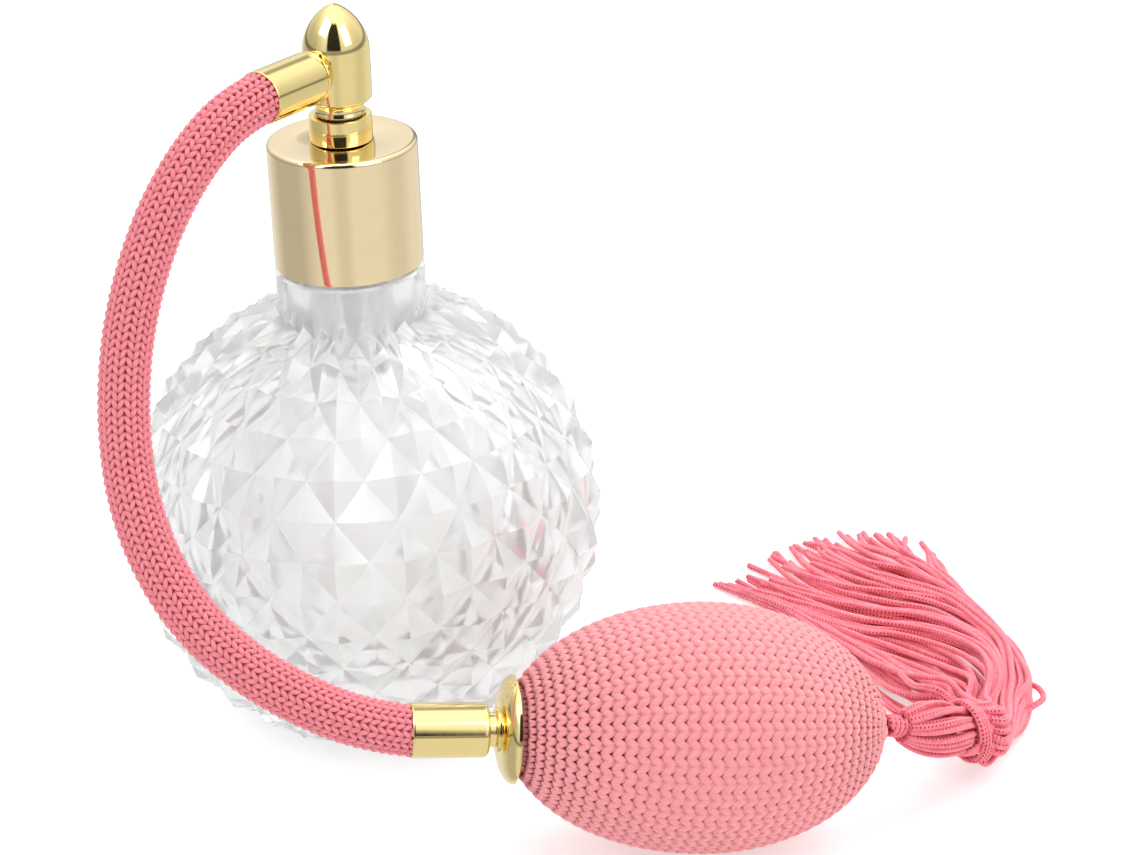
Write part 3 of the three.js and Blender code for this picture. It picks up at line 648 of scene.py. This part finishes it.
def add_bottle():
    """One closed skin of rings, all with the same number of points: up the outside and down inside."""
    cell = np.array([0, 0.08, 0.3, 0.5, 0.7, 0.92])
    columns = np.concatenate([(k + cell) / 2 for k in range(2 * COLUMNS)])
    rows = np.concatenate([*(k + cell for k in range(ROWS)), [ROWS]])
    turns = np.radians(FIRST_CROSSING + columns * 360 / COLUMNS)
    latitudes = np.radians(LOWEST_ROW + rows * (HIGHEST_ROW - LOWEST_ROW) / ROWS)
    radius = diamond_radius(columns[None, :], rows[:, None])
    flat = radius * np.cos(latitudes)[:, None]
    height = BALL_CENTRE + radius * np.sin(latitudes)[:, None]

    ball = [level_ring(turns, f, h) for f, h in zip(flat, height)]
    foot = rings_at(turns, [
        (0.1, 1.2), (8, 1.15), (14.5, 0.7), (15.6, 0.15), (16.2, 0.0), (20.8, 0.0), (21.5, 0.3),
        (22.2, 1.2),
    ])
    neck = rings_at(turns, [
        (12.2, 72.2), (12.2, 74), (12.2, 76), (12.2, 77.6), (12.1, 78.2), (11.7, 78.55),
        (11.2, 78.6), (9.4, 78.7), (9.1, 79.1),
    ])
    finish = [
        level_ring(turns, thread_radius(z, turns), z) for z in np.arange(79.5, 92.6, 0.3) * MM
    ]
    lip = rings_at(turns, [
        (9.05, 93), (8.8, 93.35), (8.3, 93.5), (7.5, 93.45), (7.1, 93.2), (7, 92.7),
    ])
    bore = rings_at(turns, [(7, 90), (7, 82), (7, 74), (7, 68)])
    angles = np.radians(np.linspace(70, -86, 40))
    cavity = rings_at(turns, [(30 * math.cos(a), 35 + 30 * math.sin(a)) for a in angles])
    cavity += rings_at(turns, [(0.1, 5)])
    rings = [*foot, *ball, *neck, *finish, *lip, *bore, *cavity]
    sides = len(turns)
    quads = ring_faces(len(rings), sides)
    low, high = len(foot) * sides, (len(foot) + len(ball) - 1) * sides
    facets = split_along_grooves(quads[low:high], len(cell))
    plain = np.concatenate([quads[:low], quads[high:]])
    faces = [*facets.tolist(), *capped(plain, len(rings), sides)]
    piece = add_object("cut_glass_bottle", np.concatenate(rings), faces, GLASS, sharp_deg=14)
    face_outwards(piece)
    stand_for(piece, "bottle", "clear_glass", "glass_bottle")


def thread_radius(z, turns):
    """The neck's finish with one raised screw thread wound up it."""
    pitch, start, end = 3 * MM, 83 * MM, 87.6 * MM
    middle = start + (turns % (2 * np.pi)) / (2 * np.pi) * pitch
    gap = np.abs((z - middle + pitch / 2) % pitch - pitch / 2)
    wanted = np.clip(1.0 - (gap - 0.25 * MM) / (0.55 * MM), 0, 1)
    inside = np.clip((z - start) / MM, 0, 1) * np.clip((end - z) / MM, 0, 1)
    return 9.1 * MM + 0.7 * MM * wanted * inside


add_bottle()


# ---------------------------------------------------------------- gilt pieces
def add_collar():
    low, high, radius = UPRIGHT.span("outer_collar")
    wall, plate, hole = 0.75 * MM, 0.9 * MM, 3.9 * MM
    corner = [
        (radius - 0.8 * MM + 0.8 * MM * math.cos(a), high - 0.8 * MM + 0.8 * MM * math.sin(a))
        for a in np.radians(np.linspace(0, 90, 9))
    ]
    rim = [(radius - wall, high - plate), (radius - wall, low), (radius, low)]
    profile = [
        *filleted(rim, 0.2 * MM, closed=False)[:-1],
        (radius - 0.02 * MM, low + 0.1 * MM),
        (radius, low + 0.3 * MM),
        (radius, high - 1.0 * MM),
        *corner,
        (radius - 1.1 * MM, high),
        (hole + 0.2 * MM, high),
        (hole, high - 0.1 * MM),
        (hole, high - plate),
    ]
    collar = lathe("gilt_collar", profile, UPRIGHT, CHAMPAGNE, 128)
    stand_for(collar, "collar", "champagne_gold", "outer_collar")


def add_rings():
    for node in ("lower_ring", "upper_ring"):
        low, high, radius = UPRIGHT.span(node)
        bore = 3.7 * MM
        foot = low - 0.17 * MM
        profile = filleted([(bore, foot), (radius, foot), (radius, high), (bore, high)], 0.13 * MM)
        stand_for(lathe(f"gilt_{node}", profile, UPRIGHT, GOLD), "closure", "yellow_gold", node)


def add_head():
    """The bullet-shaped head over its waisted neck."""
    low, high, radius = UPRIGHT.span("spray_head")
    neck, shoulder, dome = 4.14 * MM, 106.6 * MM, 114.8 * MM
    bullet = [
        (radius * (1 - h ** 1.9) ** 0.7, dome + (high - dome) * h)
        for h in np.sin(np.linspace(0, np.pi / 2, 24))[1:-1]
    ]
    waist = [
        (neck - 0.25 * MM * math.sin(math.pi * t), low + 0.25 * MM + t * (shoulder - low - 0.5 * MM))
        for t in np.linspace(0, 1, 9)
    ]
    profile = [
        (3.4 * MM, low), (neck - 0.15 * MM, low), (neck, low + 0.12 * MM), *waist,
        (neck, shoulder - 0.1 * MM), (neck + 0.1 * MM, shoulder), (radius - 0.6 * MM, shoulder),
        (radius - 0.45 * MM, shoulder + 0.03 * MM), (radius - 0.05 * MM, shoulder + 0.43 * MM),
        (radius, shoulder + 0.55 * MM), (radius, dome - 0.3 * MM), (radius, dome), *bullet,
        (0, high), (0, 115.4 * MM), (3.4 * MM, 115.4 * MM),
    ]
    head = lathe("gilt_spray_head", profile, UPRIGHT, GOLD, 128)
    stand_for(head, "head", "yellow_gold", "spray_head")


def ferrule_profile(start, end, radius):
    """A drawn tube with a rounded closed end at start and a thin rim at end."""
    wall, hole = 0.28 * MM, 2.6 * MM
    corner = [
        (radius - 0.6 * MM + 0.6 * MM * math.sin(a), start + 0.6 * MM - 0.6 * MM * math.cos(a))
        for a in np.radians(np.linspace(0, 90, 7))
    ]
    return [
        (hole, start), (radius - 0.9 * MM, start), *corner, (radius, start + 0.9 * MM),
        (radius, end - 0.3 * MM), (radius, end - 0.1 * MM), (radius - 0.08 * MM, end),
        (radius - wall, end), (radius - wall, end - 0.2 * MM), (radius - wall, start + 1.0 * MM),
        (hole, start + 1.0 * MM),
    ]


def add_arm():
    start, end, radius = ARM.span("arm_ferrule")
    ferrule = lathe("gilt_arm_ferrule", ferrule_profile(start, end, radius), ARM, GOLD)
    stand_for(ferrule, "head", "yellow_gold", "arm_ferrule")
    saddle = add_saddle(UPRIGHT.span("spray_head")[2], radius, start)
    stand_for(saddle, "head", "yellow_gold", "arm_nipple")
    return ferrule


def add_saddle(head_radius, ferrule_radius, start):
    """The arm's neck, fitted to the head's round side, with a thin rounded lip behind the ferrule."""
    sides = 96
    angles = np.arange(sides) * 2 * np.pi / sides
    neck, lip = 2.7 * MM, ferrule_radius - 0.12 * MM
    on_head = np.sqrt(head_radius ** 2 - (neck * np.cos(angles)) ** 2)
    level = np.zeros(sides)
    rings = [
        ARM.point(on_head - 0.2 * MM, 0.5 * MM, angles),
        ARM.point(on_head - 0.2 * MM, neck, angles),
        *(ARM.point(level + start + along * MM, lip + inset * MM, angles) for along, inset in [
            (-0.85, -0.8), (-0.78, -0.3), (-0.6, -0.06), (-0.42, 0), (-0.2, -0.06), (-0.05, -0.3),
            (-0.02, -1.2), (0.9, -1.9), (0.9, -3.6),
        ]),
    ]
    faces = capped(ring_faces(len(rings), sides), len(rings), sides)
    saddle = add_object("gilt_arm_saddle", np.concatenate(rings), faces, GOLD, sharp_deg=50)
    face_outwards(saddle)
    return saddle


def add_bulb_fittings():
    """The ferrule at the bulb's end of the hose, its short neck and the flared cup over the bulb."""
    start, end, radius = BULB.span("bulb_ferrule")
    ferrule = lathe("gilt_bulb_ferrule", ferrule_profile(start, end, radius), BULB, GOLD)
    stand_for(ferrule, "head", "yellow_gold", "bulb_ferrule")
    rim, back, rim_radius = BULB.span("flared_cup")
    wall = 0.4 * MM
    bell = [
        (3.2 * MM + (rim_radius - 3.2 * MM) * math.sin(a), rim + (back - rim) * math.cos(a))
        for a in np.radians(np.linspace(0, 90, 20))
    ]
    inner = [(r - wall * (i / 19), max(z - wall, rim)) for i, (r, z) in enumerate(bell)]
    cup = lathe("gilt_flared_cup", [*bell, *inner[::-1]], BULB, GOLD)
    stand_for(cup, "head", "yellow_gold", "flared_cup")
    neck = lathe("gilt_cup_neck", filleted([
        (0, 25 * MM), (1.9 * MM, 25 * MM), (1.9 * MM, back - 0.3 * MM), (3.5 * MM, back - 0.3 * MM),
        (3.5 * MM, back + 0.35 * MM), (2.7 * MM, back + 0.5 * MM), (2.7 * MM, start + 0.3 * MM),
        (2.4 * MM, start + 1.2 * MM), (0, start + 1.2 * MM),
    ], 0.15 * MM), BULB, GOLD, closed=False)
    stand_for(neck, "head", "yellow_gold", "cup_nipple")
    return ferrule, cup, neck


add_collar()
add_rings()
add_head()
arm_ferrule = add_arm()
bulb_fittings = add_bulb_fittings()


# ---------------------------------------------------------------- squeeze bulb
TAIL_END, CUP_END, COVER_RADIUS = BULB.span("bulb_cover")
TAIL_LENGTH, CUP_LENGTH = 29.6 * MM, 31.8 * MM


def egg_radius(along, inset=0.0):
    """Half the bulb's thickness at a distance along its line from its widest place."""
    length = np.where(along < 0, TAIL_LENGTH, CUP_LENGTH) - inset
    share = np.clip(np.abs(along) / length, 0, 0.999)
    return (COVER_RADIUS - inset) * np.sqrt(1 - share ** 2)


def egg_line(inset=0.0):
    """Distances along the bulb's line and arc lengths over its skin, from tail to cup."""
    along = np.concatenate([
        -TAIL_LENGTH * np.cos(np.linspace(0.05, np.pi / 2, 200)),
        CUP_LENGTH * np.sin(np.linspace(0, np.pi / 2 - 0.05, 200))[1:],
    ])
    radius = egg_radius(along, inset)
    arc = np.r_[0, np.cumsum(np.hypot(np.diff(along), np.diff(radius)))]
    return along, radius, arc


GATHER_REACH = 5 * MM  # how far from its two ends the cover is gathered in small folds


def crowding_at(place, whole):
    """How crowded the net is at an arc length over the bulb: near 1 at its two ends, 0 between."""
    return np.exp(-(whole - place) / GATHER_REACH) + np.exp(-place / GATHER_REACH)


def add_bulb():
    along, radius, arc = egg_line(0.8 * MM)
    slope_r, slope_a = np.gradient(radius, arc), np.gradient(along, arc)
    wales, course = 44, 1.85 * MM

    def surface(turn, place):
        angle = turn * 2 * np.pi
        points = BULB.point(np.interp(place, arc, along), np.interp(place, arc, radius), angle)
        level = BULB.point(0 * turn, 1.0, angle) - BULB.origin
        outward = np.interp(place, arc, slope_a)[..., None] * level
        out = outward - np.interp(place, arc, slope_r)[..., None] * BULB.direction
        out /= np.linalg.norm(out, axis=-1, keepdims=True)
        crowding = crowding_at(place, arc[-1])
        folds = np.sin(11 * angle + 0.4) + 0.6 * np.sin(17 * angle + 2.1) + 0.4 * np.sin(5 * angle)
        return points + (0.4 * MM * crowding * (folds - 0.6))[..., None] * out, out

    places = np.arange(1.0 * MM, arc[-1] - 1.0 * MM, course)
    wale_width = 2 * np.pi * np.interp(places, arc, radius) / wales
    yarn_radius = np.clip(0.31 * wale_width, 0.36 * MM, 0.88 * MM)
    depth = (0.06 + 0.4 * np.sqrt(crowding_at(places, arc[-1]))) * MM
    points, faces = knitted(
        surface, wales, places, course * 0.38, yarn_radius, depth, steps=10, pinch=0.045,
        flatness=0.55,
    )
    net = add_object("bulb_net_knit", points, faces, NET_YARN)
    stand_for(net, "head", "pink_net_knit", "bulb_cover")
    inset = 1.35 * MM
    shell_along, shell_radius, _ = egg_line(inset)
    profile = [(0, shell_along[0]), *zip(shell_radius[::8], shell_along[::8]), (0, shell_along[-1])]
    rubber = lathe("bulb_rubber", profile, BULB, BULB_RUBBER, 64, closed=False)
    stand_for(rubber, "head", "pink_rubber", "rubber_bulb", "press_wall")
    for piece in (net, rubber):
        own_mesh(piece)
    return net, rubber


bulb_pieces = add_bulb()


# ---------------------------------------------------------------- tassel
CORD_RADIUS = 0.56 * MM
STITCH = 0.68 * MM
STITCH_SIDE = np.array([0.0, -0.8, 0.6])  # the side on which the cords show their stitch holes


def add_cords(name, paths):
    """Narrow knitted cords along smooth paths: each has a row of small stitch holes down two sides.
    The faces round each hole carry a dark material, which is painted shade for the hollow.
    """
    sides = 8
    full = np.array([0.97, 1.0, 0.9, 1.0] * 2)
    holed = np.array([1.0, 0.85, 0.5, 0.85] * 2)
    all_points, all_faces, painted_shade_faces, start = [], [], [], 0
    for number, path in enumerate(paths):
        line, _ = smooth_path(path, STITCH / 2)
        tangents = np.gradient(line, axis=0)
        tangents /= np.linalg.norm(tangents, axis=1, keepdims=True)
        side = STITCH_SIDE + np.array([0.5 * math.sin(2.4 * number), 0, 0.4 * math.cos(2.4 * number)])
        normals = side - (tangents @ side)[:, None] * tangents
        normals /= np.linalg.norm(normals, axis=1, keepdims=True)
        radii = CORD_RADIUS * np.where((np.arange(len(line)) % 2 == 0)[:, None], full, holed)
        rings = tube_points(line, normals, radii, sides)
        all_points.append(rings.reshape(-1, 3))
        faces = capped(ring_faces(len(line), sides), len(line), sides)
        all_faces.extend([tuple(i + start for i in face) for face in faces])
        place = np.arange(len(faces))
        # the faces beside each stitch hole get the painted shade material, standing in for the shade
        # inside it
        painted_shade_by_hole = np.isin(place % sides, (2, 6)) & (place // sides % 2 == 0)
        painted_shade_faces.extend((painted_shade_by_hole & (place < len(faces) - 2)).astype(int))
        start += len(line) * sides
    cords = add_object(name, np.concatenate(all_points), all_faces, CORD_YARN)
    # the second material is the painted shade for the stitch holes
    cords.data.materials.append(CORD_HOLE_PAINTED_SHADE)
    cords.data.polygons.foreach_set("material_index", painted_shade_faces)
    return cords


# How the skirt's cords sweep round and fall on the table, from those nearest the bulb to those
# furthest from it; the cords lie along these lines and between them.
SWEEPS = MM * np.array([
    [(96, -25.3, 8), (93.2, -23.7, 8.5), (89.4, -20.9, 7), (86.7, -15.1, 5), (84.6, -8.2, 4),
     (81.9, -0.8, 3), (77, 8.9, 2.5), (70.7, 18.6, 2), (64, 26.5, 1)],
    [(99.5, -27.5, 9), (99.8, -21.5, 9), (97.5, -15, 7.5), (93.5, -8.5, 6), (88.8, -2.2, 5),
     (83.6, 3.2, 4), (77.6, 11.2, 3), (70.3, 19.8, 2.3), (62.9, 27.7, 1)],
    [(101.6, -28.3, 9), (104.4, -20.4, 9), (104.4, -8.5, 7), (99.6, -0.2, 6), (93.3, 5.2, 5),
     (85.7, 7.6, 4.5), (78.3, 13.5, 3.5), (70, 21.1, 2.5), (61.8, 28.9, 1)],
    [(105.2, -26.8, 8), (107.3, -16.1, 7), (107.7, -3.5, 6), (104.9, 7.3, 5), (99.6, 13.8, 5),
     (91.2, 18.2, 4.5), (82.8, 23.6, 3.5), (76.2, 31.4, 2), (72.2, 39.1, 1)],
    [(107.3, -26.9, 7), (109.8, -18.1, 6.5), (109.9, -6.3, 5.5), (107.2, 4.6, 5), (102.6, 16.6, 5),
     (97.8, 28.2, 4), (93.2, 36.2, 3), (89.9, 43.1, 2), (87.9, 49, 1)],
    [(108.5, -24.2, 4), (111.2, -17.2, 4), (111.3, -7.7, 3.5), (108.6, 1.7, 3), (105.8, 12.8, 2.5),
     (103.5, 22.7, 2), (102, 32.2, 1.5), (101, 37.7, 1), (100, 41.7, 0.8)],
])
LOOSE_LOOP = MM * np.array([
    (104, -27, 5), (108.2, -24.2, 4), (111, -22.1, 4), (112.7, -20, 4), (112.6, -17.3, 4),
    (111.5, -15.6, 4), (109.5, -15.5, 4),
])
SKIRT_LAYERS, CORDS_PER_LAYER = 6, 16


def between_sweeps(share):
    """A route between the two nearest sweeps; share goes from 0 at the first to 1 at the last."""
    place = np.clip(np.asarray(share, float), 0, 1) * (len(SWEEPS) - 1)
    lower = np.minimum(place.astype(int), len(SWEEPS) - 2)
    part = (place - lower)[:, None]
    step = np.arange(SWEEPS.shape[1])
    return SWEEPS[lower, step] * (1 - part) + SWEEPS[lower + 1, step] * part


def add_skirt():
    chance = random.Random(7)
    start, end, radius = TASSEL.span("tassel_binding")
    pieces = []
    for layer in range(SKIRT_LAYERS):
        depth = (layer + 0.5) / SKIRT_LAYERS
        paths = []
        for k in range(CORDS_PER_LAYER):
            share = ((k + 0.5 + chance.uniform(-0.4, 0.4)) / CORDS_PER_LAYER) ** 1.05
            drift = chance.uniform(-0.18, 0.18)
            route = between_sweeps(share + drift * np.linspace(0, 1, SWEEPS.shape[1]))
            floor = CORD_RADIUS * 1.02
            route[:, 2] = floor + (route[:, 2] - floor) * (0.1 + depth) * chance.uniform(0.85, 1.1)
            sway = np.array([(chance.uniform(-1, 1), chance.uniform(-1, 1), 0) for _ in route])
            route += 0.6 * MM * sway
            route[-1] += unit(route[-1] - route[-2]) * chance.uniform(-7, 2) * MM
            angle = math.pi * (1.05 - 1.3 * share) + chance.uniform(-0.3, 0.3)
            root = TASSEL.point(end - 1.5 * MM, radius * (0.2 + 0.6 * depth), angle)
            mouth = TASSEL.point(end + 2 * MM, radius * (0.25 + 0.65 * depth), angle)
            paths.append(np.vstack([root, mouth, route]))
        if layer == SKIRT_LAYERS - 1:
            paths.append(LOOSE_LOOP)
        piece = add_cords(f"tassel_cords_{layer + 1}", paths)
        pieces.append(stand_for(piece, "tassel", "pink_cord"))
    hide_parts("tassel_skirt")
    return pieces


def add_tassel_head():
    """Cords looped lengthwise over the knot, and the diagonal wraps that bind them."""
    start, end, radius = TASSEL.span("tassel_head")
    shares = np.linspace(0, 1, 8)
    along = start - 1.2 * MM + shares * (end - start + 2 * MM)
    bulge = np.sin(np.pi * np.clip(shares * 0.72 + 0.06, 0, 1)) ** 0.8
    paths = []
    for strands, width in ((19, radius - 2.2 * MM), (12, radius - 3.2 * MM)):
        for k in range(strands):
            angle = 2 * math.pi * k / strands + 0.15 * math.sin(3.7 * k)
            paths.append(TASSEL.point(along, 1.3 * MM + width * bulge, angle + 0.7 * shares))
    head = stand_for(add_cords("tassel_head_cords", paths), "tassel", "pink_cord", "tassel_head")

    low, high, wrap_radius = TASSEL.span("tassel_binding")
    wraps = []
    for turns, tilt, inset in ((4, 1.7 * MM, 1.3 * MM), (3, -1.9 * MM, 0.3 * MM)):
        steps = np.linspace(0, turns, 14 * turns + 1)
        angle = 2 * np.pi * steps
        slide = low + 1.6 * MM + (high - low - 3.2 * MM) * steps / turns + tilt * np.sin(angle)
        wraps.append(TASSEL.point(slide, wrap_radius - CORD_RADIUS - inset, angle))
    wraps = add_cords("tassel_binding_cords", wraps)
    stand_for(wraps, "tassel", "pink_cord", "tassel_binding")

    knot = np.linspace(0, 2 * np.pi * 3.2, 44)
    loop = TASSEL.point(0.4 * MM + 3.3 * MM * knot / knot[-1], 1.3 * MM, knot)
    loop_piece = add_cords("tassel_loop_cord", [loop])
    stand_for(loop_piece, "head", "pink_cord", "tassel_loop")
    return [head, wraps], loop_piece


skirt_pieces = add_skirt()
tassel_pieces, loop_piece = add_tassel_head()

# ---------------------------------------------------------------- CAD nodes left showing
CAD_FINISHES = {
    "neck_gasket": SEAL_RUBBER, "swivel_seal": SEAL_RUBBER, "stem_plug": WHITE_PLASTIC,
    "dip_tube": CLEAR_PLASTIC, "screw_liner": WHITE_PLASTIC, "head_core": WHITE_PLASTIC,
    "nozzle_insert": BRASS, "valve_body": BRASS, "valve_ball": STEEL, "valve_retainer": BRASS,
}
for node, material in CAD_FINISHES.items():
    mesh = frame["nodes"][node].data
    mesh.materials.clear()
    mesh.materials.append(material)
